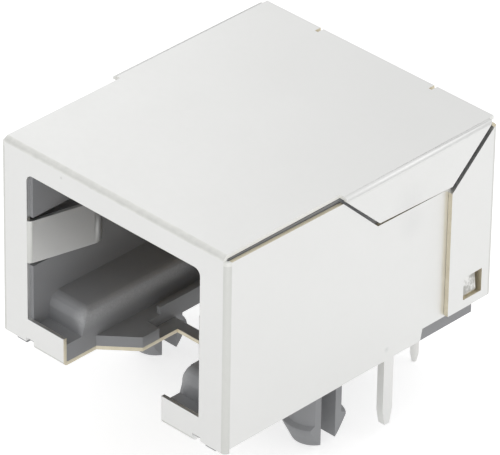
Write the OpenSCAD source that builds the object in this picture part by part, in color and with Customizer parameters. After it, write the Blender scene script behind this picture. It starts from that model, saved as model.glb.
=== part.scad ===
// Shielded modular connector socket with eight spring contacts, for mounting flat on a circuit board.
// X runs across the socket, Y runs from the plug face to the back, Z points up from the board.
// The origin is on the board surface, midway between the two board pegs.

/* [Shell] */
// Width over the shell's side panels
shell_w = 15.98; // [15.5:0.02:18]
// Height of the shell's top above the board
shell_h = 11.85; // [11.7:0.05:14]
// Depth from the front panel to the rear panel
shell_d = 19.1; // [18:0.1:22]
// Thickness of the sheet metal
sheet_t = 0.22; // [0.15:0.01:0.26]
// Outside radius of the folds
fold_r = 0.3; // [0.25:0.05:0.6]
// Distance from the front panel back to the line of the board pegs
peg_setback = 8.74; // [8.5:0.02:9.5]
// Gap between the sheet metal and what it wraps
wrap_gap = 0.06; // [0.02:0.01:0.1]

/* [Top and flaps] */
// How far the front part of the top stops short of each side panel's outer face
top_inset = 0.27; // [0.1:0.01:0.35]
// Distance from the front panel to the flap's front corner
flap_front = 8.1; // [7.5:0.05:9]
// Distance from the front panel to the flap's lower tip
flap_tip = 10.5; // [10:0.1:11.5]
// Length from the flap's rear lower corner to the rear panel
flap_heel_l = 3.3; // [3:0.05:3.5]
// Drop of the flap's lower tip below the top
flap_tip_drop = 2.51; // [2:0.01:3.5]
// Drop of the flap's rear lower corner below the top
flap_heel_drop = 2.71; // [2.2:0.01:3.7]
// Drop of the flap's upper rear corner below the top
flap_end_drop = 0.1; // [0.05:0.05:1.2]
// Length from the flap's upper rear corner to the rear panel
flap_rear_l = 0.4; // [0.35:0.05:0.8]
// Open gap all round the flap
flap_gap = 0.26; // [0.1:0.02:0.4]

/* [Side and rear panels] */
// Height of the side panels' lower edge above the board
side_lift = 0.5; // [0.4:0.05:0.9]
// Length from each ground tail's centre back to the step in the side panels' lower edge
step_room = 2.31; // [1:0.01:3]
// Height of the rear panel's lower edge above the board
rear_lift = 1.15; // [1:0.05:1.5]
// Drop of the side panels' upper edge below the top, at the front
side_drop = 0.43; // [0.4:0.01:0.6]
// Room between the side panels' rear ends and the rear panel's outer face
side_end_l = 0.5; // [0.45:0.05:0.8]
// Length of the rear panel's wraps along each side
wrap_l = 3.28; // [3:0.02:3.6]
// Width of the top beside the fold that joins it to the rear panel
rear_cut_w = 4.09; // [3:0.01:6]

/* [Latch windows] */
// Side of the square window in each wrap
window_s = 1.36; // [1:0.02:1.6]
// Length from the window to the rear panel's outer face
window_l = 0.8; // [0.6:0.02:1.1]
// Height of the window's lower edge above the board
window_z = 1.8; // [1.6:0.05:3]
// How far the latch tab leans out of the side panel
tab_lean = 0.1; // [0.05:0.01:0.25]

/* [Port] */
// Width of the front panel beside the port
port_side_w = 1.87; // [1.5:0.01:2.5]
// Height of the opening's upper edge above the board
port_top = 10.35; // [10:0.05:10.6]
// Height of the lips beside the latch notch
lip_h = 1.66; // [1.3:0.02:2]
// Width of each of those lips
lip_w = 2.62; // [2.3:0.01:2.8]
// Depth of the wide part of the latch slot in the floor
notch_d = 2.3; // [1.8:0.1:2.8]
// Width of each shoulder of the latch slot
shoulder_w = 1.78; // [1.4:0.01:2]
// Distance from the front panel to the start of the narrow part
slot_start = 3.86; // [3.4:0.02:4.2]
// Distance from the front panel to the end of the latch slot
slot_end = 6.36; // [5.6:0.02:6.6]

/* [Shell floor] */
// How far the floor flange stops short of the port's width on each side
flange_inset = 0.42; // [0.3:0.01:0.6]
// Distance from the front panel to the flange's rear edge
flange_end = 7.05; // [6.9:0.05:7.1]
// Width of the relief cut at each end of the floor fold
relief_w = 0.55; // [0.3:0.05:0.7]
// Height of the front panel's outer lower corners above the board
corner_lift = 0.27; // [0.25:0.01:0.4]

/* [Spring fingers] */
// Height of the finger's lower edge above the board
finger_z = 5.05; // [4.8:0.05:5.3]
// Height of the finger itself
finger_h = 2.5; // [2:0.1:2.6]
// How far the finger bows into the port on each side
finger_bow_w = 0.9; // [0.6:0.05:1]
// Length from the finger's fold to its crest
finger_l = 3.55; // [2.8:0.05:3.8]

/* [Ground tails] */
// Distance of the ground tails behind the peg line
ground_y = 3.05; // [2.8:0.05:3.3]
// Width of each ground tail
ground_w = 0.7; // [0.5:0.05:0.9]
// Length of each ground tail below the board surface
ground_l = 3.5; // [2.5:0.1:4]

/* [Moulded housing] */
// Step in from the port's opening to the plug cavity's wall
cavity_step = 0.22; // [0.15:0.01:0.3]
// Height of the plug's rails above the board
rail_z = 2.7; // [2.4:0.05:2.9]
// Height of the plug cavity above its rails
cavity_h = 6.8; // [6.7:0.05:6.9]
// Length from the plug cavity's rear wall to the rear panel
back_room_l = 7.56; // [7:0.02:8]
// Thickness of the cavity's rear wall
stop_t = 0.9; // [0.6:0.1:1]
// Height of the latch channel's floor above the board
channel_z = 0.85; // [0.7:0.05:1.2]
// Distance from the front panel to the rails' front ends
rail_start = 1.3; // [1:0.05:1.6]
// Height of the sill in front of the rails above the board
sill_z = 1.25; // [1:0.05:1.5]
// Height of the housing's underside above the board
standoff = 0.4; // [0.35:0.05:0.45]
// Length of the rails' slanted front edge
rail_break = 0.6; // [0.2:0.05:0.7]
// Distance from the front panel to the end of the slanted entry above the plug
lead_l = 1.1; // [0.7:0.1:1.4]
// Distance from the front panel to the start of the open well under the plug's nose
well_start = 5.05; // [4.9:0.05:6]
// Height of the ribs beside the well above the board
rib_z = 1.3; // [1.1:0.05:1.5]
// Width of each of those ribs
rib_w = 0.25; // [0.2:0.05:0.4]
// Length from the well's start back to the ribs' front ends
rib_back = 0.9; // [0.5:0.05:1.2]
// Depth of the recess behind each spring finger
recess_w = 0.95; // [0.8:0.05:1.1]
// Clearance round each spring finger in its recess
recess_gap = 0.2; // [0.1:0.05:0.3]
// Step in from the housing's side to its front feet
foot_inset = 0.6; // [0.4:0.05:0.8]
// Width of the front feet
foot_w = 0.7; // [0.5:0.05:0.9]
// How much wider the well under the plug's nose is than the latch slot, on each side
well_side_w = 0.86; // [0.3:0.02:1]
// Length from the housing's rear end to the rear panel's outer face
housing_end_l = 0.86; // [0.8:0.02:1.2]

/* [Board pegs] */
// Distance of each peg's centre from the side panel's outer face
peg_inset = 2.275; // [2.2:0.005:2.5]
// Diameter of the peg's shank
peg_d = 2.8; // [2.4:0.05:3.1]
// Diameter over the peg's snap barb
barb_d = 3.3; // [3.2:0.02:3.5]
// Diameter of the peg's tip
peg_tip_d = 2.3; // [1.8:0.05:2.5]
// Length of the pegs below the board surface
peg_l = 3.7; // [3:0.1:4.2]
// Depth of the barb's ledge below the board surface
barb_z = 2.35; // [1.7:0.05:2.5]
// Height of the barb's widest land
barb_land = 0.15; // [0.1:0.05:0.35]
// Width of the slot that splits each peg
peg_slot = 1.05; // [0.7:0.05:1.3]
// Width over the flats at the ends of that slot
peg_flat_w = 2.04; // [1.9:0.02:2.6]

/* [Contact insert] */
// Step in from the plug cavity's wall to the insert's side
cheek_w = 0.5; // [0.3:0.05:0.8]
// Step in from the insert's side to its upper plate's side
plate_inset = 0.5; // [0.3:0.05:0.8]
// Height of the plate's underside over the cavity's ceiling
insert_rise = 0.4; // [0.3:0.05:0.6]
// Thickness of the plate
plate_h = 1; // [0.9:0.05:1.2]
// Thickness of the insert's upright wall
insert_wall = 0.8; // [0.6:0.1:1.2]
// Thickness of the insert's base
base_h = 1.6; // [1:0.1:2]
// Clearance between the plate and its pocket
slide_gap = 0.1; // [0.05:0.01:0.15]
// Clearance beside the wires in the insert
wire_gap = 0.03; // [0.02:0.01:0.05]

/* [Contacts] */
// Number of contacts
contact_n = 8; // [2:2:8]
// Diameter of the contact wire
wire_d = 0.46; // [0.36:0.02:0.5]
// Spacing of the contacts in the port
port_pitch = 1.016; // [0.95:0.01:1.1]
// Spacing of the tails across both rows
tail_pitch = 1.27; // [1.2:0.01:1.3]
// Length from the rear row of tails to the rear panel's outer face
row_back_l = 1.47; // [1.3:0.01:2]
// Distance between the two rows of tails
row_gap = 2.54; // [2.4:0.01:2.7]
// Length of the tails below the board surface
tail_l = 4.05; // [2.5:0.05:4.2]
// Slope of the free spring arms
arm_slope = 20.5; // [16:0.5:21]
// Distance from the front panel to the contacts' hairpin bend
hairpin_d = 3.1; // [2.8:0.1:3.4]
// Radius of the hairpin bend, on the wire's centre line
hairpin_r = 0.5; // [0.45:0.05:0.6]
// Radius of the bend above each tail, on the wire's centre line
elbow_r = 0.7; // [0.6:0.05:1]
// Distance from the front panel to where the wires begin to spread
jog_front = 4.4; // [4.2:0.1:4.8]
// Angle at which the wires spread
jog_turn = 8; // [7:0.5:10]
// Width of the slots that keep the arms apart
comb_slot = 0.6; // [0.55:0.01:0.7]
// Height of the lower ends of those slots above the board
comb_z = 5.2; // [4.8:0.1:5.4]

/* [Hidden] */
$fn = 48;
// One overrun that carries every cut past the face it starts from
cut = 1;
front_y = -peg_setback;
rear_y = front_y + shell_d;
side_x = shell_w / 2;
port_w = shell_w - 2 * port_side_w;
cavity_w = port_w - 2 * cavity_step;
notch_w = port_w - 2 * lip_w;
slot_w = notch_w - 2 * shoulder_w;
well_w = slot_w + 2 * well_side_w;
flange_w = port_w - 2 * flange_inset;
peg_span = shell_w - 2 * peg_inset;
insert_w = cavity_w - 2 * cheek_w;
plate_w = insert_w - 2 * plate_inset;
rear_fold_w = shell_w - 2 * rear_cut_w;
flap_heel = shell_d - flap_heel_l;
flap_rear = shell_d - flap_rear_l;
side_step = peg_setback + ground_y + step_room;
side_end = shell_d - side_end_l;
wrap_front = shell_d - wrap_l;
window_d = shell_d - window_l - window_s;
cavity_d = shell_d - back_room_l;
housing_end = shell_d - housing_end_l;
row_b_y = rear_y - row_back_l;
row_a_y = row_b_y - row_gap;
side_inner_x = side_x - sheet_t;
wrap_x = side_x + wrap_gap + sheet_t;
flap_x = wrap_x;
body_x = side_inner_x - wrap_gap;
foot_x = body_x - foot_inset - foot_w;
top_x = side_x - top_inset;
side_top = shell_h - side_drop;
under_top = shell_h - sheet_t;
housing_top = under_top - wrap_gap;
front_inner = front_y + sheet_t;
port_r = 0.4;
tilt_drop = 0.1;
fold_slit = 0.2;
edge_break = fold_r - sheet_t;
finger_lean = atan(finger_bow_w / finger_l);
finger_steps = 10;
finger_curl = 62;
tab_share = 0.62;
tab_edge_share = 0.06;
wrap_gap_share = 1.75;
gap_run_share = 0.6;
gap_drop_share = 1.45;
tail_taper_share = 0.25;
tail_tip_share = 0.5;
tip_share = 0.6;
housing_front = front_inner;
ceiling_z = rail_z + cavity_h;
insert_z0 = ceiling_z + insert_rise;
insert_z1 = insert_z0 + plate_h;
insert_end = shell_d - sheet_t - wrap_gap;
run_z = insert_z0 + plate_h / 2;
hairpin_room = hairpin_r + wire_d;
nose_d = hairpin_d + slide_gap;
arm_l = (cavity_d + stop_t / 2 - hairpin_d) / cos(arm_slope);
knuckle = wire_d / 8;

// Sheet metal shell

module plate_yz(points, x, t) {
    // A flat plate across X, with its outline given as distance from the front panel and height
    translate([x, 0, 0]) rotate([90, 0, 90]) linear_extrude(t) translate([front_y, 0]) polygon(points);
}

module on_both_sides() {
    children();
    mirror([1, 0, 0]) children();
}

module quarter_fold(length) {
    // A quarter ring along Z whose outer surface faces +X and -Y
    intersection() {
        difference() {
            cylinder(r = fold_r, h = length);
            translate([0, 0, -cut]) cylinder(r = fold_r - sheet_t, h = length + 2 * cut);
        }
        translate([0, -fold_r - cut, 0]) cube([fold_r + cut, fold_r + cut, length]);
    }
}

module throat(z, h, side_gap) {
    // The latch slot's outline in the floor: wide at the front, narrow behind two slanted shoulders
    half_wide = notch_w / 2 - side_gap;
    half_slot = slot_w / 2 - side_gap;
    translate([0, front_y, z]) linear_extrude(h) polygon([
        [-half_wide, -cut], [half_wide, -cut], [half_wide, notch_d], [half_slot, slot_start],
        [half_slot, slot_end], [-half_slot, slot_end], [-half_slot, slot_start], [-half_wide, notch_d]
    ]);
}

module port_cut() {
    // The opening in the front panel, with rounded upper corners
    half = port_w / 2;
    translate([0, front_y - cut, 0]) rotate([-90, 0, 0]) mirror([0, 1, 0]) linear_extrude(sheet_t + 2 * cut)
        union() {
            translate([-half, lip_h]) square([port_w, port_top - port_r - lip_h]);
            translate([port_r - half, lip_h]) square([port_w - 2 * port_r, port_top - lip_h]);
            for (side = [-1, 1]) translate([side * (half - port_r), port_top - port_r]) circle(r = port_r);
        }
}

module front_panel() {
    difference() {
        translate([fold_r - side_x, front_y, corner_lift])
            cube([shell_w - 2 * fold_r, sheet_t, shell_h - fold_r - corner_lift]);
        on_both_sides() translate([flange_w / 2, front_y - cut, corner_lift - cut])
            cube([relief_w, sheet_t + 2 * cut, side_lift - corner_lift + cut]);
        on_both_sides() translate([top_x, front_y - cut, side_top]) cube([shell_w, sheet_t + 2 * cut, shell_h]);
    }
}

module floor_flange() {
    // The front panel's lips fold back under the housing and lie on the board
    difference() {
        union() {
            translate([-flange_w / 2, front_y, fold_r])
                cube([flange_w, sheet_t, side_lift + sheet_t]);
            translate([flange_w / 2, front_y + fold_r, fold_r]) rotate([0, -90, 0])
                mirror([1, 0, 0]) quarter_fold(flange_w);
            translate([-flange_w / 2, front_y + fold_r, 0])
                cube([flange_w, flange_end - fold_r, sheet_t]);
        }
        throat(-cut, sheet_t + lip_h + cut, 0);
    }
}

module side_panel() {
    // A flat side with a step at the lower rear and a cut-out that follows the flap
    step_rise = rear_lift - side_lift - sheet_t / 2;
    difference() {
        union() {
            plate_yz([
                [fold_r, side_lift], [side_step, side_lift], [side_step + step_rise / 4, side_lift + step_rise],
                [side_end, side_lift + step_rise], [side_end, shell_h - flap_heel_drop - flap_gap],
                [flap_heel, shell_h - flap_heel_drop - flap_gap / 2],
                [flap_tip + flap_gap * gap_run_share, shell_h - flap_tip_drop - flap_gap * gap_drop_share],
                [flap_front, side_top - tilt_drop], [fold_r, side_top]
            ], side_inner_x, sheet_t);
            translate([side_x - fold_r, front_y + fold_r, corner_lift]) quarter_fold(side_top - corner_lift);
        }
        tab_cut();
    }
    latch_tab();
}

module tab_cut() {
    // The slot that frees the latch tab from the side panel, seen through the wrap's window
    translate([side_inner_x - cut, front_y + window_d + window_s * tab_share, window_z - window_s * tab_edge_share])
        cube([sheet_t + 2 * cut, window_s * (1 - tab_share), window_s]);
}

module latch_tab() {
    // A lanced tab that leans out into the window and stops the wrap from sliding off
    tab_w = window_s * tab_share - wrap_gap;
    low = window_z + window_s * tab_edge_share;
    high = window_z + window_s * (1 - tab_edge_share);
    translate([0, front_y + window_d + wrap_gap + tab_w, 0]) rotate([90, 0, 0]) linear_extrude(tab_w)
        polygon([[side_x - sheet_t / 2, low], [side_x + tab_lean, low], [side_x + tab_lean, low + sheet_t / 2],
                 [side_x, high], [side_x - sheet_t / 2, high]]);
}

module top_panel() {
    rear_part = shell_d - fold_r;
    // The flat top, narrow over the side panels and full width between the flaps
    translate([-top_x, front_y + fold_r, under_top]) cube([2 * top_x, shell_d - 2 * fold_r, sheet_t]);
    translate([fold_r - flap_x, front_y + flap_front, under_top])
        cube([2 * (flap_x - fold_r), rear_part - flap_front + fold_r - sheet_t / 4, sheet_t]);
    // The fold down into the front panel
    translate([-top_x, front_y + fold_r, shell_h - fold_r]) rotate([0, 90, 0]) mirror([1, 0, 0])
        quarter_fold(2 * top_x);
}

module flap() {
    // A strip folded down along the top's edge, cut to the flap's slanted outline
    reach = shell_d - flap_front - sheet_t / 4;
    intersection() {
        translate([flap_x - fold_r, front_y + flap_front + reach, shell_h - fold_r]) rotate([90, 0, 0])
            linear_extrude(reach) fold_strip(flap_heel_drop - fold_r);
        plate_yz([
            [flap_front - cut, shell_h - flap_gap], [flap_front, shell_h - flap_gap],
            [flap_tip, shell_h - flap_tip_drop], [flap_heel, shell_h - flap_heel_drop],
            [flap_rear, shell_h - flap_end_drop], [flap_rear, shell_h + cut], [flap_front - cut, shell_h + cut]
        ], top_x - fold_r - sheet_t, flap_x);
    }
}

module fold_strip(drop) {
    // The section of a strip that runs level, then folds down with a rounded outer corner
    union() {
        intersection() {
            difference() {
                circle(r = fold_r);
                circle(r = fold_r - sheet_t);
            }
            square(fold_r);
        }
        translate([fold_r - sheet_t, -drop]) square([sheet_t, drop]);
        translate([-fold_r, fold_r - sheet_t]) square([fold_r, sheet_t]);
    }
}

module rear_panel() {
    low = rear_lift;
    high = wrap_top(shell_d - fold_r);
    difference() {
        translate([fold_r - wrap_x, rear_y - sheet_t, low])
            cube([2 * (wrap_x - fold_r), sheet_t, shell_h - fold_r - low]);
        // Outside the fold the panel stops short of the top
        on_both_sides() translate([rear_fold_w / 2, rear_y - sheet_t - cut, high])
            cube([shell_w, sheet_t + 2 * cut, shell_h]);
    }
    translate([rear_fold_w / 2, rear_y - fold_r, shell_h - fold_r]) rotate([0, 90, 180]) mirror([1, 0, 0])
        quarter_fold(rear_fold_w);
    on_both_sides() {
        translate([wrap_x - fold_r, rear_y - fold_r, low]) mirror([0, 1, 0]) quarter_fold(high - low);
        difference() {
            plate_yz([
                [wrap_front, low], [shell_d - fold_r, low],
                [shell_d - fold_r, high], [wrap_front, wrap_top(wrap_front)]
            ], wrap_x - sheet_t, sheet_t);
            translate([side_x, front_y + window_d, window_z]) cube([cut, window_s, window_s]);
        }
    }
}
// The wrap's slanted upper edge runs parallel to the flap's rear edge
function wrap_top(d) = shell_h - flap_heel_drop - flap_gap * wrap_gap_share
    + (d - flap_heel) * (flap_heel_drop - flap_end_drop) / (flap_rear - flap_heel);

module rear_slits() {
    // Short relief cuts at the ends of the rear fold
    on_both_sides() translate([rear_fold_w / 2, rear_y - fold_r - fold_slit, under_top - flap_gap])
        cube([fold_slit, fold_r + fold_slit + cut, flap_gap + sheet_t + cut]);
}

module ground_tail() {
    // The sheet is doubled for strength; the tip tapers to enter its hole
    taper = ground_l * tail_taper_share;
    half = ground_w / 2;
    tip = half * tail_tip_share;
    translate([side_x - 2 * sheet_t, ground_y, 0]) rotate([90, 0, 90]) linear_extrude(2 * sheet_t) polygon([
        [-half, standoff - wrap_gap], [half, standoff - wrap_gap], [half, taper - ground_l],
        [tip, -ground_l], [-tip, -ground_l], [-half, taper - ground_l]
    ]);
    translate([side_inner_x, ground_y - half, standoff - wrap_gap - sheet_t])
        cube([sheet_t, ground_w, side_lift + 2 * sheet_t - standoff]);
}

// A strip of sheet seen from above, built from its centre line
function arc_points(c, r, a0, a1, n) = [for (i = [0:n]) c + r * [cos(a0 + (a1 - a0) * i / n), sin(a0 + (a1 - a0) * i / n)]];
function finger_line(shift) =
    let (r0 = fold_r - sheet_t / 2,
         fold_c = [port_w / 2 + r0 / 2, front_y + fold_r],
         a_end = 180 + finger_lean,
         crest_r = fold_r + 2 * sheet_t,
         fold_end = fold_c + r0 * [cos(a_end), sin(a_end)],
         dir = [-sin(finger_lean), cos(finger_lean)],
         crest_start = fold_end + finger_l * dir,
         crest_c = crest_start + crest_r * [cos(finger_lean), sin(finger_lean)])
    concat(
        arc_points(fold_c, r0 + shift, 270, a_end, finger_steps),
        arc_points(crest_c, crest_r + shift, 180 + finger_lean, 180 - finger_curl, finger_steps));

module spring_finger() {
    inner = finger_line(-sheet_t / 2);
    outer = finger_line(sheet_t / 2);
    reversed = [for (i = [len(inner) - 1:-1:0]) inner[i]];
    translate([0, 0, finger_z]) linear_extrude(finger_h) polygon(concat(outer, reversed));
}

module shield() {
    color([0.88, 0.88, 0.86]) {
        difference() {
            union() {
                front_panel();
                floor_flange();
                top_panel();
                on_both_sides() side_panel();
                on_both_sides() flap();
                rear_panel();
            }
            port_cut();
            throat(-cut, lip_h + 2 * cut, 0);
            rear_slits();
        }
        on_both_sides() spring_finger();
        on_both_sides() ground_tail();
    }
}

// Moulded housing

module block(x, y0, y1, z0, z1) {
    // A block centred on X that runs between two distances from the front panel and two heights
    translate([-x, front_y + y0, z0]) cube([2 * x, y1 - y0, z1 - z0]);
}

module peg() {
    // A snap peg with a barb on its front and rear sides, split by a slot so that its halves spring together
    shank = peg_d / 2;
    barb = barb_d / 2;
    difference() {
        rotate_extrude() polygon([
            [0, standoff + sheet_t], [shank, standoff + sheet_t], [shank, -barb_z],
            [barb, -barb_z - barb_land], [barb, -barb_z - 2 * barb_land], [peg_tip_d / 2, -peg_l], [0, -peg_l]
        ]);
        translate([-peg_d, -peg_slot / 2, -peg_l - cut]) cube([2 * peg_d, peg_slot, peg_l + cut - sheet_t]);
        for (side = [0, 180]) rotate([0, 0, side]) translate([peg_flat_w / 2, -peg_d, -peg_l - cut])
            cube([peg_d, 2 * peg_d, peg_l + cut]);
    }
}

module finger_recess() {
    // Room in the cavity's wall for the spring finger to swing back
    translate([cavity_w / 2 - cut, housing_front - cut, finger_z - recess_gap])
        cube([cut + recess_w, finger_l + 2 * fold_r + 2 * sheet_t + cut + recess_gap, finger_h + 2 * recess_gap]);
}

module profile_cut(w, points) {
    // A cut across the socket, centred on X, with its outline given as distance from the front and height
    translate([-w / 2, 0, 0]) rotate([90, 0, 90]) linear_extrude(w) translate([front_y, 0]) polygon(points);
}

module rail_edges() {
    // A slanted break along the front of the rails, where the plug is guided in
    profile_cut(cavity_w, [
        [rail_start - cut, rail_z - rail_break], [rail_start, rail_z - rail_break],
        [rail_start + rail_break, rail_z], [rail_start + rail_break, rail_z + cut],
        [rail_start - cut, rail_z + cut]
    ]);
}

module lead_in() {
    // The slanted entry above the plug
    profile_cut(cavity_w, [
        [-cut, ceiling_z - cut], [lead_l, ceiling_z - cut], [lead_l, ceiling_z], [sheet_t, port_top], [-cut, port_top]
    ]);
}

module well_rib() {
    // A low rib along the well that keeps the plug's latch in line
    translate([well_w / 2, front_y + well_start + rib_back, standoff])
        cube([rib_w, cavity_d + stop_t / 2 - well_start - rib_back, rib_z - standoff]);
}

module comb() {
    // Slots in the cavity's rear wall that keep the ends of the spring arms apart
    for (k = [0:contact_n - 1])
        translate([port_x(k) - comb_slot / 2, front_y + cavity_d - cut, comb_z])
            cube([comb_slot, stop_t + 2 * cut, insert_z0 + wire_d - comb_z]);
}

module housing() {
    color([0.12, 0.12, 0.13]) union() {
        difference() {
            union() {
                translate([0, front_y, standoff]) linear_extrude(housing_top - standoff) polygon([
                    [edge_break - body_x, sheet_t], [body_x - edge_break, sheet_t], [body_x, sheet_t + edge_break],
                    [body_x, housing_end], [-body_x, housing_end], [-body_x, sheet_t + edge_break]
                ]);
                // The floor around the latch slot lies on the shell's flange
                block(flange_w / 2, sheet_t + edge_break, flange_end, sheet_t, standoff + sheet_t);
                // Two small feet keep the front corners off the board
                on_both_sides() translate([foot_x, housing_front, 0])
                    cube([foot_w, foot_w, standoff + sheet_t]);
                on_both_sides() translate([peg_span / 2, 0, 0]) peg();
            }
            // The upper front edge clears the inside of the shell's fold
            profile_cut(2 * shell_w, [[-cut, housing_top - edge_break], [sheet_t, housing_top - edge_break],
                [sheet_t + edge_break, housing_top], [sheet_t + edge_break, shell_h], [-cut, shell_h]]);
            // The plug cavity over its rails
            block(cavity_w / 2, -cut, cavity_d, rail_z, ceiling_z);
            // The latch channel between the rails
            block(notch_w / 2, -cut, cavity_d, channel_z, rail_z + cut);
            // The step down to the sill in front of the rails
            block(cavity_w / 2, -cut, rail_start, sill_z, rail_z + cut);
            rail_edges();
            lead_in();
            throat(-cut, channel_z + 2 * cut, 0);
            // The open well round the rear end of the latch slot
            block(well_w / 2, well_start, cavity_d - stop_t / 2, -cut, channel_z + cut);
            on_both_sides() finger_recess();
            comb();
            // The pocket in the roof and the compartment at the rear for the contact insert
            block(plate_w / 2 + slide_gap, hairpin_d - hairpin_room, shell_d + cut, ceiling_z - cut, insert_z1 + slide_gap);
            block(insert_w / 2, cavity_d + stop_t, shell_d + cut, -cut, insert_z1 + slide_gap);
        }
        on_both_sides() well_rib();
    }
}

// Contact insert

module groove(k) {
    // A channel in the insert's upper face that follows one wire, open down through the plate at its bend
    w = wire_d / 2 + wire_gap;
    translate([0, 0, run_z - wire_d / 2]) linear_extrude(plate_h) polygon([
        [port_x(k) - w, front_y], [port_x(k) + w, front_y], [port_x(k) + w, front_y + jog_front],
        [tail_x(k) + w, front_y + jog_back(k)], [tail_x(k) + w, row_y(k) + w],
        [tail_x(k) - w, row_y(k) + w], [tail_x(k) - w, front_y + jog_back(k)], [port_x(k) - w, front_y + jog_front]
    ]);
    translate([tail_x(k) - w, row_y(k) - elbow_r - w, insert_z0 - cut])
        cube([2 * w, elbow_r + 2 * w, plate_h + 2 * cut]);
}

module contact_insert() {
    color([0.16, 0.16, 0.17]) {
        difference() {
            union() {
                block(plate_w / 2, nose_d, insert_end, insert_z0, insert_z1);
                block(insert_w / 2, cavity_d + stop_t, cavity_d + stop_t + insert_wall, standoff, insert_z0 + sheet_t);
                block(insert_w / 2, cavity_d + stop_t, insert_end, standoff, standoff + base_h);
            }
            for (k = [0:contact_n - 1]) groove(k);
            for (k = [0:contact_n - 1]) translate([tail_x(k), row_y(k), -cut])
                cylinder(d = wire_d + 2 * wire_gap, h = base_h + standoff + 2 * cut);
        }
    }
}

// Contacts

module contact(k) {
    color([0.93, 0.8, 0.5]) union() {
        // The tail, with a tapered tip
        translate([tail_x(k), row_y(k), -tail_l]) cylinder(d1 = wire_d * tip_share, d2 = wire_d, h = wire_d);
        translate([tail_x(k), row_y(k), wire_d - tail_l]) cylinder(d = wire_d, h = run_z - elbow_r + tail_l - wire_d);
        // The bend from the tail into the run over the insert
        translate([tail_x(k), row_y(k) - elbow_r, run_z - elbow_r]) rotate([0, 90, 0]) rotate([0, 0, 90])
            rotate_extrude(angle = 90) translate([elbow_r, 0]) circle(d = wire_d);
        // The run forward, with a jog from the tail's spacing to the port's
        translate([tail_x(k), row_y(k) - elbow_r, run_z]) rotate([90, 0, 0])
            cylinder(d = wire_d, h = row_y(k) - elbow_r - front_y - jog_back(k) - knuckle);
        jog(k);
        translate([port_x(k), front_y + hairpin_d, run_z]) rotate([-90, 0, 0])
            cylinder(d = wire_d, h = jog_front - knuckle - hairpin_d);
        // The hairpin round the insert's nose and the free spring arm
        translate([port_x(k), front_y + hairpin_d, run_z - hairpin_r]) {
            rotate([0, 90, 0]) rotate([0, 0, 180])
                rotate_extrude(angle = 180 - arm_slope) translate([hairpin_r, 0]) circle(d = wire_d);
            rotate([-90 - arm_slope, 0, 0]) translate([0, hairpin_r, 0]) cylinder(d = wire_d, h = arm_l);
        }
    }
}

module jog(k) {
    // A slanted length between two small knuckles
    shift = tail_x(k) - port_x(k);
    run = jog_back(k) - jog_front;
    translate([port_x(k), front_y + jog_front, run_z]) {
        sphere(d = wire_d);
        rotate([-90, 0, -atan(shift / run)]) translate([0, 0, knuckle])
            cylinder(d = wire_d, h = sqrt(shift * shift + run * run) - 2 * knuckle);
        translate([shift, run, 0]) sphere(d = wire_d);
    }
}

function jog_back(k) = jog_front + abs(tail_x(k) - port_x(k)) / tan(jog_turn);
function port_x(k) = (k - (contact_n - 1) / 2) * port_pitch;
function tail_x(k) = (k - (contact_n - 1) / 2) * tail_pitch;
function row_y(k) = k % 2 == 0 ? row_a_y : row_b_y;

shield();
housing();
contact_insert();
contact(0);  // contact_1
contact(1);  // contact_2
contact(2);  // contact_3
contact(3);  // contact_4
contact(4);  // contact_5
contact(5);  // contact_6
contact(6);  // contact_7
contact(7);  // contact_8
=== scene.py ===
import math

import bmesh
import bpy
from mathutils import Matrix, Vector


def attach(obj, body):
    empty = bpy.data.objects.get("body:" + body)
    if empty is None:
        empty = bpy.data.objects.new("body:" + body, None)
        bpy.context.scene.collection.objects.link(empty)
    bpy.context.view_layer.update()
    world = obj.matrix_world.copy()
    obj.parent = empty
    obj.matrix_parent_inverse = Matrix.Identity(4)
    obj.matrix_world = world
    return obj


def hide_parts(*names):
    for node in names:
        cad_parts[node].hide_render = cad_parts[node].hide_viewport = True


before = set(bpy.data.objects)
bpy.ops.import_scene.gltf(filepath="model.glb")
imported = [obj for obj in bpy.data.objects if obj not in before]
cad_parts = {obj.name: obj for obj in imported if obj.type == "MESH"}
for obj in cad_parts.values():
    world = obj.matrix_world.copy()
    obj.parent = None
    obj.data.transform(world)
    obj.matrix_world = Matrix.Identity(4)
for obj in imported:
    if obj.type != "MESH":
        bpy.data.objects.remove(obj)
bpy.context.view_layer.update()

# Moulded housing
# One black glass-filled moulding. The plug slides in over its two rails, the latch drops into the
# channel between them, and two split pegs under it snap into the board.
MM = 0.001
WELD_DIST = 0.002 * MM
FLAT_ANGLE = math.radians(0.5)
SHARP_ANGLE = math.radians(30)
LARGE_FACES_LEAD = 100


def solid_of(node):
    """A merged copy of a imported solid, with its flat faces whole again."""
    shape = bmesh.new()
    shape.from_mesh(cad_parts[node].data)
    bmesh.ops.remove_doubles(shape, verts=shape.verts, dist=WELD_DIST)
    bmesh.ops.dissolve_limit(
        shape, angle_limit=FLAT_ANGLE, verts=shape.verts, edges=shape.edges
    )
    return shape


def sharp_edges(shape, keep=lambda edge: True):
    """The corners of a solid, or those of them that a test keeps."""
    return [
        edge for edge in shape.edges
        if len(edge.link_faces) == 2 and edge.calc_face_angle(0) > SHARP_ANGLE and keep(edge)
    ]


def round_off(shape, edges, radius, steps):
    """Rounds edges as the mould's radii or the tumbled sheet's edges are rounded."""
    bmesh.ops.bevel(
        shape, geom=edges, offset=radius, offset_type="OFFSET", segments=steps, profile=0.5,
        affect="EDGES", clamp_overlap=True, material=-1,
    )


def bring_in(name, data):
    """A new object of the scene, at the origin."""
    made = bpy.data.objects.new(name, data)
    bpy.context.scene.collection.objects.link(made)
    return made


def mesh_of(shape, name):
    """The mesh of a finished shape, which is used up."""
    mesh = bpy.data.meshes.new(name)
    shape.to_mesh(mesh)
    shape.free()
    return mesh


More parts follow.
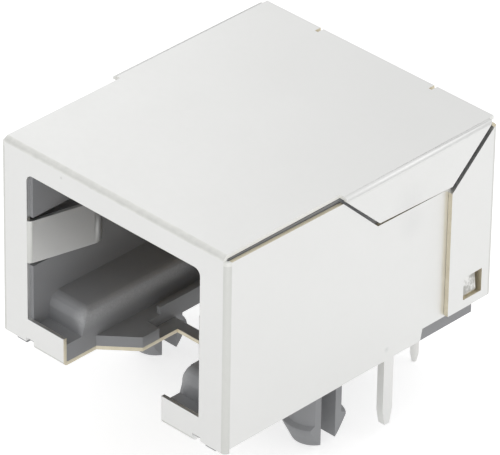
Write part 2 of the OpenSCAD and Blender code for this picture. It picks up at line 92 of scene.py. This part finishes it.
def place(shape, name, finishes, stands_for):
    """Turns a finished shape into a piece on the part's one body, in place of its solid."""
    mesh = mesh_of(shape, name)
    for face in mesh.polygons:
        face.use_smooth = True
    mesh.set_sharp_from_angle(angle=SHARP_ANGLE)
    for finish in finishes:
        mesh.materials.append(finish)
    piece = bring_in(name, mesh)
    even = piece.modifiers.new("even_shading", "WEIGHTED_NORMAL")
    even.mode, even.weight, even.keep_sharp = "FACE_AREA", LARGE_FACES_LEAD, True
    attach(piece, "root")
    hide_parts(stands_for)


COLOUR_A, COLOUR_B, MIXED_COLOUR = 6, 7, 2
OBJECT_COORDS = 3
X, Y, Z = 0, 1, 2


class FinishValue:
    """A value that varies over a surface. Sums on it become nodes of its material."""

    def __init__(self, tree, socket=None):
        self.tree, self.socket = tree, socket

    def node(self, kind, settings, inputs, output=0):
        made = self.tree.nodes.new(kind)
        for key, value in settings.items():
            setattr(made, key, value)
        for key, value in inputs.items():
            if isinstance(value, FinishValue):
                self.tree.links.new(value.socket, made.inputs[key])
            else:
                made.inputs[key].default_value = value
        return FinishValue(self.tree, made.outputs[output])

    def maths(self, operation, first, second=0.0):
        return self.node("ShaderNodeMath", {"operation": operation}, {0: first, 1: second})

    def __add__(self, other):
        return self.maths("ADD", self, other)

    def __radd__(self, other):
        return self.maths("ADD", other, self)

    def __sub__(self, other):
        return self.maths("SUBTRACT", self, other)

    def __rsub__(self, other):
        return self.maths("SUBTRACT", other, self)

    def __mul__(self, other):
        return self.maths("MULTIPLY", self, other)

    def __rmul__(self, other):
        return self.maths("MULTIPLY", other, self)

    def __gt__(self, other):
        return self.maths("GREATER_THAN", self, other)

    def __lt__(self, other):
        return self.maths("LESS_THAN", self, other)

    def __abs__(self):
        return self.maths("ABSOLUTE", self)

    def along(self, axis):
        """A place's distance from the origin along one axis."""
        return self.node("ShaderNodeSeparateXYZ", {}, {"Vector": self}, axis)

    def fade(self, start, end, first, last):
        """Runs smoothly from the first value to the last as this one goes from start to end."""
        return self.node(
            "ShaderNodeMapRange", {"interpolation_type": "SMOOTHSTEP"},
            {"Value": self, "From Min": start, "From Max": end, "To Min": first, "To Max": last},
        )

    def blend(self, first, second):
        """The first colour where this value is 0, the second where it is 1."""
        return self.node(
            "ShaderNodeMix", {"data_type": "RGBA"},
            {"Factor": self, COLOUR_A: first, COLOUR_B: second}, MIXED_COLOUR,
        )

    def noise(self, fineness, detail):
        """Soft random variation over the surface, with so many waves to the metre."""
        return self.node(
            "ShaderNodeTexNoise", {}, {"Vector": self, "Scale": fineness, "Detail": detail}
        )

    def bump(self, strength, depth):
        """Lets the light see this value as relief."""
        return self.node(
            "ShaderNodeBump", {}, {"Height": self, "Strength": strength, "Distance": depth}
        )


def start_finish(name):
    """A new material, its surface's own coordinates, and the shader to fill in."""
    finish = bpy.data.materials.new(name)
    finish.use_nodes = True
    tree = finish.node_tree
    here = FinishValue(tree).node("ShaderNodeTexCoord", {}, {}, OBJECT_COORDS)
    return finish, here, tree.nodes["Principled BSDF"]


def fill_in(shader, **values):
    """Constants go on the shader's own sockets; what varies is linked."""
    for key, value in values.items():
        socket = shader.inputs[key.replace("_", " ")]
        if isinstance(value, FinishValue):
            value.tree.links.new(value.socket, socket)
        else:
            socket.default_value = value


def spot(here, centre_mm, radius):
    """1 at a point of the piece, falling smoothly to 0 at the radius."""
    centre = [MM * length for length in centre_mm]
    away = here.node(
        "ShaderNodeVectorMath", {"operation": "DISTANCE"}, {0: here, 1: centre}, "Value"
    )
    return away.fade(0, radius, 1, 0)


BLACK_RESIN = (0.252, 0.255, 0.263, 1)
WORN_RESIN = (0.318, 0.323, 0.335, 1)
# Pale grey of the painted sheen on the rails' inner edges
SHEEN_RESIN = (0.56, 0.565, 0.575, 1)
GRAIN_FINENESS = 11000
GRAIN_DEPTH = 0.02 * MM
RESIN_DETAIL = 2
HOUSING_FLOW = 260
HOUSING_ROUGH, ROUGH_SPREAD = 0.36, 0.2
HOUSING_RELIEF = 0.5
SHEEN_CENTRE_MM, SHEEN_RADIUS = (3.5, 0, 2.2), 0.9 * MM
SHEEN_LEAST, SHEEN_ON_GRAIN = 0.1, 0.7
# A painted sheen lightens the rails' rounded inner edges, so it is laid out on the rails' section
resin, here, shader = start_finish("black_resin")
grain = here.noise(GRAIN_FINENESS, RESIN_DETAIL)
flow = here.noise(HOUSING_FLOW, RESIN_DETAIL)
section = here.node(
    "ShaderNodeCombineXYZ", {}, {"X": abs(here.along(X)), "Z": here.along(Z)}
)
painted_sheen = spot(section, SHEEN_CENTRE_MM, SHEEN_RADIUS) * (SHEEN_LEAST + SHEEN_ON_GRAIN * grain)
fill_in(
    shader,
    Base_Color=painted_sheen.blend(flow.blend(BLACK_RESIN, WORN_RESIN), SHEEN_RESIN),
    Roughness=HOUSING_ROUGH + ROUGH_SPREAD * grain,
    Normal=grain.bump(HOUSING_RELIEF, GRAIN_DEPTH),
)

RAIL_TOP = 2.7 * MM
RAIL_SIDE = 3.5 * MM
RAIL_FRONT = -7.44 * MM
RAIL_SLOPE = 0.6 * MM
NOSE_CUT = 0.42 * MM
RAIL_ROUND, RAIL_STEPS = 0.3 * MM, 6
CHANNEL_FLOOR = 0.85 * MM
NEAR = 0.02 * MM
MOSTLY = 0.95
UNDERSIDE = 0.4 * MM
UNDERSIDE_DROP = 0.15 * MM
BARB_TOP = -1.9 * MM
PEG_ROUND, PEG_STEPS = 0.12 * MM, 3
MOULD_BREAK, BREAK_STEPS = 0.05 * MM, 2


def close_to(length, target):
    """Finds a corner of the solid again by one of its lengths."""
    return abs(length - target) < NEAR


def lower_underside(shape):
    """Brings the plastic under the rear hem down to where it shows below the metal."""
    for vert in shape.verts:
        if abs(vert.co.z - UNDERSIDE) < WELD_DIST:
            vert.co.z -= UNDERSIDE_DROP


def on_nose(edge):
    """The rails' rounded front ends and their upper inner edges."""
    ends = [vert.co for vert in edge.verts]
    inner = all(close_to(abs(p.x), RAIL_SIDE) and p.z > CHANNEL_FLOOR + NEAR for p in ends)
    along_top = inner and all(close_to(p.z, RAIL_TOP) for p in ends)
    at_front = inner and all(
        RAIL_FRONT - NEAR < p.y < RAIL_FRONT + NOSE_CUT + NEAR for p in ends
    )
    run = ends[1] - ends[0]
    across = abs(run.x) > MOSTLY * run.length and all(abs(p.x) > RAIL_SIDE - NEAR for p in ends)
    low = all(close_to(p.y, RAIL_FRONT) and close_to(p.z, RAIL_TOP - NOSE_CUT) for p in ends)
    high = all(close_to(p.y, RAIL_FRONT + NOSE_CUT) and close_to(p.z, RAIL_TOP) for p in ends)
    return along_top or at_front or (across and (low or high))


def on_peg_end(edge):
    """The barbs and tips of the two pegs."""
    return max(vert.co.z for vert in edge.verts) < BARB_TOP


body = solid_of("housing")
for vert in body.verts:
    # Each rail's nose is cut back less than its solid's, since its edges are rounded too
    if abs(vert.co.x) > RAIL_SIDE - NEAR:
        if close_to(vert.co.y, RAIL_FRONT + RAIL_SLOPE) and close_to(vert.co.z, RAIL_TOP):
            vert.co.y = RAIL_FRONT + NOSE_CUT
        if close_to(vert.co.y, RAIL_FRONT) and close_to(vert.co.z, RAIL_TOP - RAIL_SLOPE):
            vert.co.z = RAIL_TOP - NOSE_CUT
lower_underside(body)
round_off(body, sharp_edges(body, on_nose), RAIL_ROUND, RAIL_STEPS)
round_off(body, sharp_edges(body, on_peg_end), PEG_ROUND, PEG_STEPS)
round_off(body, sharp_edges(body), MOULD_BREAK, BREAK_STEPS)
place(body, "moulded_housing", [resin], "housing")

# Contact insert
# A second black moulding that holds the eight wires. It slides in from the back, and its comb of
# grooves keeps the wires apart over the plug and guides their tails down to the board.
INSERT_FLOW = 320
INSERT_ROUGH = 0.38
INSERT_RELIEF = 0.4
insert_resin, here, shader = start_finish("insert_resin")
grain = here.noise(GRAIN_FINENESS, RESIN_DETAIL)
flow = here.noise(INSERT_FLOW, RESIN_DETAIL)
fill_in(
    shader,
    Base_Color=flow.blend(BLACK_RESIN, WORN_RESIN),
    Roughness=INSERT_ROUGH + ROUGH_SPREAD * grain,
    Normal=grain.bump(INSERT_RELIEF, GRAIN_DEPTH),
)
carrier = solid_of("contact_insert")
lower_underside(carrier)
round_off(carrier, sharp_edges(carrier), MOULD_BREAK, BREAK_STEPS)
place(carrier, "contact_carrier", [insert_resin], "contact_insert")

# Contact wires
# Eight round spring wires, gold plated where they meet the plug and tinned where they are soldered.
# Each is bent once over its tail and once round the insert's nose.
CONTACTS = 8
GOLD = (0.86, 0.62, 0.27, 1)
TIN = (0.80, 0.80, 0.78, 1)
GOLD_END = 2.2 * MM
DRAW_FINENESS, DRAW_DETAIL = 4000, 2
WIRE_ROUGH, WIRE_ROUGH_SPREAD = 0.24, 0.14
wire_plate, here, shader = start_finish("wire_plate")
draw_marks = here.noise(DRAW_FINENESS, DRAW_DETAIL)
fill_in(
    shader,
    Base_Color=(here.along(Y) > GOLD_END).blend(GOLD, TIN),
    Metallic=1.0,
    Roughness=WIRE_ROUGH + WIRE_ROUGH_SPREAD * draw_marks,
)
for number in range(1, CONTACTS + 1):
    wire = solid_of(f"contact_{number}")
    place(wire, f"wire_{number}", [wire_plate], f"contact_{number}")

# Sheet metal shell
# One blank of nickel-plated copper alloy, folded round the moulding. Its cut edges show the bare
# alloy, the folds are a little duller, and the latch tabs hold the rear wraps in place.
PLATE_BRIGHT = (0.83, 0.832, 0.822, 1)
PLATE_SOFT = (0.79, 0.792, 0.78, 1)
SMUDGE_AND_SHADE = (0.70, 0.705, 0.70, 1)
HAZE_FINENESS, HAZE_DETAIL = 180, 3
ROLLED_FINENESS, ROLLED_DETAIL = 2600, 4
PLATE_ROUGH, PLATE_ROUGH_SPREAD = 0.36, 0.1
ROLLED_HEIGHT = 0.09
PLATE_RELIEF, PLATE_DEPTH = 0.5, 0.06 * MM
PUNCH_AT_MM, PUNCH_RADIUS, PUNCH_DULL = (7.99, 2.88, 1.12), 0.22 * MM, 0.6
THUMB_AT_MM, THUMB_RADIUS, THUMB_DULL = (8.27, 3.9, 9.6), 1.5 * MM, 0.28
# Painted shade on the side panel just below the flap's lower edge
FLAP_SHADE_AT_MM, FLAP_SHADE_RADIUS, FLAP_SHADE_STRENGTH = (7.99, 4.4, 8.0), 1.3 * MM, 0.3
PIT_AT_MM, PIT_RADIUS = (-3.62, -8.74, 11.24), 0.1 * MM
shell_plate, here, shader = start_finish("shell_plate")
haze = here.noise(HAZE_FINENESS, HAZE_DETAIL)
rolled = here.noise(ROLLED_FINENESS, ROLLED_DETAIL)
punch_mark = spot(here, PUNCH_AT_MM, PUNCH_RADIUS)
thumb_mark = spot(here, THUMB_AT_MM, THUMB_RADIUS)
painted_flap_shade = spot(here, FLAP_SHADE_AT_MM, FLAP_SHADE_RADIUS)
pit = spot(here, PIT_AT_MM, PIT_RADIUS)
# The smudge, the punch mark and the pit darken towards one grey, and so does the painted shade
# below the flap
smudges_and_shade = THUMB_DULL * thumb_mark + FLAP_SHADE_STRENGTH * painted_flap_shade + PUNCH_DULL * punch_mark + pit
fill_in(
    shader,
    Base_Color=smudges_and_shade.blend(haze.blend(PLATE_BRIGHT, PLATE_SOFT), SMUDGE_AND_SHADE),
    Metallic=1.0,
    Roughness=PLATE_ROUGH + PLATE_ROUGH_SPREAD * rolled,
    Normal=(ROLLED_HEIGHT * rolled - punch_mark - pit).bump(PLATE_RELIEF, PLATE_DEPTH),
)

CUT_LIGHT = (0.83, 0.775, 0.635, 1)
CUT_DARK = (0.70, 0.64, 0.50, 1)
SHEAR_FINENESS, SHEAR_DETAIL = 1500, 3
CUT_ROUGH, CUT_ROUGH_SPREAD = 0.5, 0.15
CUT_RELIEF, CUT_DEPTH = 0.3, 0.02 * MM
cut_edge, here, shader = start_finish("cut_edge")
shear = here.noise(SHEAR_FINENESS, SHEAR_DETAIL)
fill_in(
    shader,
    Base_Color=shear.blend(CUT_LIGHT, CUT_DARK),
    Metallic=1.0,
    Roughness=CUT_ROUGH + CUT_ROUGH_SPREAD * shear,
    Normal=shear.bump(CUT_RELIEF, CUT_DEPTH),
)

FOLD_LIGHT = (0.87, 0.87, 0.84, 1)
FOLD_DARK = (0.70, 0.705, 0.68, 1)
CORNER_TOP = 11.3 * MM
STRETCH_FINENESS, STRETCH_DETAIL = 2200, 4
FOLD_ROUGH, FOLD_ROUGH_SPREAD = 0.42, 0.14
FOLD_RELIEF, FOLD_DEPTH = 0.3, 0.015 * MM
fold_plate, here, shader = start_finish("fold_plate")
stretch = here.noise(STRETCH_FINENESS, STRETCH_DETAIL)
# Painted shade: the upright folds at the corners are darker than the folds along the top
shaded_corner_fold = here.along(Z) < CORNER_TOP
fill_in(
    shader,
    Base_Color=(stretch + shaded_corner_fold).blend(FOLD_LIGHT, FOLD_DARK),
    Metallic=1.0,
    Roughness=FOLD_ROUGH + FOLD_ROUGH_SPREAD * stretch,
    Normal=stretch.bump(FOLD_RELIEF, FOLD_DEPTH),
)

# Tin on the tails, whose pale finish also paints a highlight along the roof's cut side edges
TAIL_LIGHT = (0.94, 0.945, 0.92, 1)
TAIL_DARK = (0.87, 0.875, 0.845, 1)
DIP_FINENESS, DIP_DETAIL = 1800, 3
TAIL_METAL = 0.15
TAIL_ROUGH, TAIL_ROUGH_SPREAD = 0.45, 0.15
TAIL_RELIEF, TAIL_DEPTH = 0.25, 0.015 * MM
tin_and_highlight, here, shader = start_finish("tin_and_highlight")
dip = here.noise(DIP_FINENESS, DIP_DETAIL)
fill_in(
    shader,
    Base_Color=dip.blend(TAIL_LIGHT, TAIL_DARK),
    Metallic=TAIL_METAL,
    Roughness=TAIL_ROUGH + TAIL_ROUGH_SPREAD * dip,
    Normal=dip.bump(TAIL_RELIEF, TAIL_DEPTH),
)

SCUFF_LIGHT = (0.86, 0.86, 0.85, 1)
SCUFF_DARK = (0.50, 0.50, 0.48, 1)
SCUFF_FINENESS, SCUFF_DETAIL = 3400, 3
SCUFF_START, SCUFF_FULL = 0.36, 0.62
SCUFF_ROUGH, SCUFF_ROUGH_SPREAD = 0.4, 0.2
SCUFF_RELIEF, SCUFF_DEPTH = 0.6, 0.05 * MM
scuffed_tab, here, shader = start_finish("scuffed_tab")
scuff = here.noise(SCUFF_FINENESS, SCUFF_DETAIL)
fill_in(
    shader,
    Base_Color=scuff.fade(SCUFF_START, SCUFF_FULL, 0, 1).blend(SCUFF_LIGHT, SCUFF_DARK),
    Metallic=1.0,
    Roughness=SCUFF_ROUGH + SCUFF_ROUGH_SPREAD * scuff,
    Normal=scuff.bump(SCUFF_RELIEF, SCUFF_DEPTH),
)

SHEET = 0.22 * MM
SIDE_X = 7.99 * MM
WRAP_GAP = 0.06 * MM
WRAP_REST = 0.01 * MM
TAB_FRONT = 8.26 * MM
TAB_END = 9.043 * MM
TAB_LOW = 1.6 * MM
TAB_HIGH = 3.3 * MM
TAB_REACH = 0.28 * MM
HEEL_Y = 5 * MM
HEEL_LOW = 8.8 * MM
HEEL_HIGH = 9.1 * MM
HEEL_DROP = 0.13 * MM
SIDE_TOP_LOW = 11.2 * MM
SIDE_TOP_HIGH = 11.5 * MM
SIDE_TOP_INSIDE = 7 * MM
SIDE_TOP_LIFT = 0.09 * MM
HEM_FRONT = 5.4 * MM
HEM_LOW = 1 * MM
HEM_HIGH = 1.2 * MM
HEM_LIFT = 0.14 * MM


def by_tab(point):
    """Near a latch tab, inside the wrap that covers it."""
    inside_wrap = abs(point.x) < SIDE_X + SHEET / 2 + NEAR
    return TAB_FRONT - NEAR < point.y and TAB_LOW < point.z < TAB_HIGH and inside_wrap


shell = solid_of("shield")
for vert in shell.verts:
    # The wraps and flaps lie close against the side panels
    if abs(abs(vert.co.x) - SIDE_X - WRAP_GAP) < WRAP_REST:
        vert.co.x = math.copysign(SIDE_X + WRAP_REST, vert.co.x)
    # The latch tab nearly fills its window
    if by_tab(vert.co) and close_to(vert.co.y, TAB_END):
        vert.co.y += TAB_REACH
    # The side panel drops under the flap's heel and rises to the fold at the front
    if abs(vert.co.x) < SIDE_X + NEAR and vert.co.y > HEEL_Y and HEEL_LOW < vert.co.z < HEEL_HIGH:
        vert.co.z -= HEEL_DROP
    front_part = vert.co.y < 0 and abs(vert.co.x) > SIDE_TOP_INSIDE
    if front_part and SIDE_TOP_LOW < vert.co.z < SIDE_TOP_HIGH:
        vert.co.z += SIDE_TOP_LIFT
    # The rear hem leaves the plastic in view
    if vert.co.y > HEM_FRONT and HEM_LOW < vert.co.z < HEM_HIGH:
        vert.co.z += HEM_LIFT

PLATED, CUT, FOLDED, TINNED_AND_HIGHLIT, SCUFFED = range(5)
THIN = 1.3 * SHEET
FACET = 0.4 * SHEET
PANEL_AREA = 5 * MM * MM
GENTLE_ANGLE = math.radians(20)
PORT_BACK = -8.5 * MM
PORT_SIDE = 6.4 * MM
FINGER_TOP = 9 * MM
FLANGE_TOP = 0.3 * MM
FOOT_BACK = -7.5 * MM
FOOT_TOP = 0.35 * MM
FOOT_SIDE = 5 * MM
TAIL_TOP = -0.01 * MM
ROOF_EDGE = 11.5 * MM
ROOF_SIDE = 7 * MM
FACING, SLANTED, STRAIGHT = 0.8, 0.5, 0.1
SHEET_BREAK = 0.025 * MM


def plated_edge(point):
    """The port, the fingers and the front's feet were cut before the blank was plated."""
    above_flange = abs(point.x) < PORT_SIDE and point.z > FLANGE_TOP
    in_port = above_flange and point.y < PORT_BACK
    finger = above_flange and point.y < 0 and point.z < FINGER_TOP
    foot = point.y < FOOT_BACK and point.z < FOOT_TOP and abs(point.x) > FOOT_SIDE
    return in_port or finger or foot


def level_with_panel(face):
    """A slim face that is only one part of a flat panel with a window in it."""
    return any(
        edge.calc_face_angle(0) < FLAT_ANGLE
        and max(side.calc_area() for side in edge.link_faces) > PANEL_AREA
        for edge in face.edges
    )


def gentle_edges(face):
    """A face's long edges at which the sheet turns a little, as it does round a fold."""
    longest = max(edge.calc_length() for edge in face.edges)
    return [
        edge for edge in face.edges
        if edge.calc_length() > longest / 2 and FLAT_ANGLE < edge.calc_face_angle(0) < GENTLE_ANGLE
    ]


# Slim facets belong to folds, slim flat faces are cut edges, all below the board is tinned, and the
# roof's slim side edges get the pale tin finish as a painted highlight
for face in shell.faces:
    middle = face.calc_center_median()
    width = 2 * face.calc_area() / sum(edge.calc_length() for edge in face.edges)
    gentle = gentle_edges(face)
    highlit_roof_edge = width < THIN and middle.z > ROOF_EDGE and abs(middle.x) > ROOF_SIDE
    if gentle and width < FACET:
        along_flap = abs(face.normal.y) < STRAIGHT and face.normal.z > STRAIGHT
        face.material_index = PLATED if along_flap else FOLDED
    elif middle.z < TAIL_TOP or highlit_roof_edge:
        face.material_index = TINNED_AND_HIGHLIT
    elif by_tab(middle) and abs(middle.x) > SIDE_X and abs(face.normal.x) > FACING:
        face.material_index = SCUFFED
    elif min(abs(face.normal.y), abs(face.normal.z)) > SLANTED:
        face.material_index = PLATED
    elif width < THIN and not (gentle or plated_edge(middle) or level_with_panel(face)):
        face.material_index = CUT
round_off(shell, sharp_edges(shell), SHEET_BREAK, BREAK_STEPS)
shell_finishes = [shell_plate, cut_edge, fold_plate, tin_and_highlight, scuffed_tab]
place(shell, "folded_shell", shell_finishes, "shield")

# Studio
# A pale floor under the tails and an even white surround. A broad soft lamp stands at the front
# right, two small ones light the port and the rear corner, and the socket is seen from above
# through a long lens.
BLACK = (0, 0, 0, 1)
WHITE = (1, 1, 1, 1)
FLOOR_Z = -4.05 * MM
FLOOR_HALF = 4
FLOOR_WHITE = (0.66, 0.66, 0.66, 1)
FLOOR_ROUGH = 0.9
FLOOR_GLOW = 0.64
FLOOR_SPILL = 0.47
FLOOR_MIRRORED = 0.29


def seen_directly(here, straight, mirrored):
    """One amount for what the lens sees, another for what metal mirrors, else nothing."""
    camera_ray, glossy_ray, clear_ray = [
        here.node("ShaderNodeLightPath", {}, {}, kind)
        for kind in ("Is Camera Ray", "Is Glossy Ray", "Is Transmission Ray")
    ]
    return straight * camera_ray.maths("MAXIMUM", camera_ray, clear_ray) + mirrored * glossy_ray


floor_paint, here, shader = start_finish("floor_paint")
floor_shows = FLOOR_SPILL + seen_directly(here, 1 - FLOOR_SPILL, FLOOR_MIRRORED)
fill_in(
    shader,
    Base_Color=FLOOR_WHITE,
    Roughness=FLOOR_ROUGH,
    Specular_IOR_Level=0.0,
    Emission_Color=floor_shows.blend(BLACK, WHITE),
    Emission_Strength=FLOOR_GLOW,
)
floor = bmesh.new()
bmesh.ops.create_grid(floor, x_segments=1, y_segments=1, size=FLOOR_HALF)
bmesh.ops.translate(floor, verts=floor.verts, vec=(0, 0, FLOOR_Z))
floor_piece = bring_in("studio_floor", mesh_of(floor, "studio_floor"))
floor_piece.data.materials.append(floor_paint)

SKY_DIRECTION = 0
SURROUND_LIGHT = 0.78
MIRRORED_SKY = 0.9
HORIZON_LOSS = 0.45
HORIZON_HEIGHT = 0.35
surround = bpy.data.worlds.new("surround")
surround.use_nodes = True
bpy.context.scene.world = surround
sky = FinishValue(surround.node_tree)
heading = sky.node("ShaderNodeTexCoord", {}, {}, SKY_DIRECTION)
horizon = heading.along(Z).fade(0, HORIZON_HEIGHT, HORIZON_LOSS, 0)
mirrored = MIRRORED_SKY - SURROUND_LIGHT - horizon
fill_in(
    surround.node_tree.nodes["Background"],
    Color=WHITE,
    Strength=SURROUND_LIGHT + seen_directly(sky, 1 - SURROUND_LIGHT, mirrored),
)


def softbox(name, centre, aim, width, height, power):
    """An area lamp at one point, turned to another; metres and watts."""
    lamp = bpy.data.lights.new(name, "AREA")
    lamp.shape, lamp.size, lamp.size_y, lamp.energy = "RECTANGLE", width, height, power
    holder = bring_in(name, lamp)
    holder.location = centre
    holder.rotation_mode = "QUATERNION"
    holder.rotation_quaternion = (Vector(aim) - Vector(centre)).to_track_quat("-Z", "Y")


PORT_AIM = (0, -5 * MM, 8 * MM)
MIDDLE = (0, 0.8 * MM, 5 * MM)
softbox(
    "lamp_left", centre=(-0.06, 0.03, 0.06), aim=PORT_AIM, width=0.05, height=0.05, power=0.0022
)
softbox(
    "lamp_front", centre=(0.38, -0.33, 0.11), aim=MIDDLE, width=0.6, height=0.2, power=0.26
)
softbox(
    "lamp_back", centre=(0.08, 0.09, 0.088), aim=MIDDLE, width=0.09, height=0.09, power=0.012
)

TURN = math.radians(43.9904)
RISE = math.radians(32.6361)
ROLL = math.radians(0.9579)
DISTANCE = 265.2109 * MM
AIM = Vector((9.40, -8.70, 14.29)) * MM
FOCAL_PIXELS = 5543.5746
PHOTO_WIDTH = 500
CLIP_START = 0.01
lens = bpy.data.cameras.new("camera")
lens.sensor_fit = "HORIZONTAL"
lens.lens = FOCAL_PIXELS / PHOTO_WIDTH * lens.sensor_width
lens.clip_start = CLIP_START
camera = bring_in("camera", lens)
bpy.context.scene.camera = camera
back = Vector((
    math.sin(TURN) * math.cos(RISE), -math.cos(TURN) * math.cos(RISE), math.sin(RISE)
))
level = Vector((math.cos(TURN), math.sin(TURN), 0))
upright = back.cross(level)
right = math.cos(ROLL) * level + math.sin(ROLL) * upright
up = -math.sin(ROLL) * level + math.cos(ROLL) * upright
camera.rotation_mode = "QUATERNION"
camera.rotation_quaternion = Matrix((right, up, back)).transposed().to_quaternion()
camera.location = AIM + DISTANCE * back
bpy.context.scene.view_settings.view_transform = "Standard"
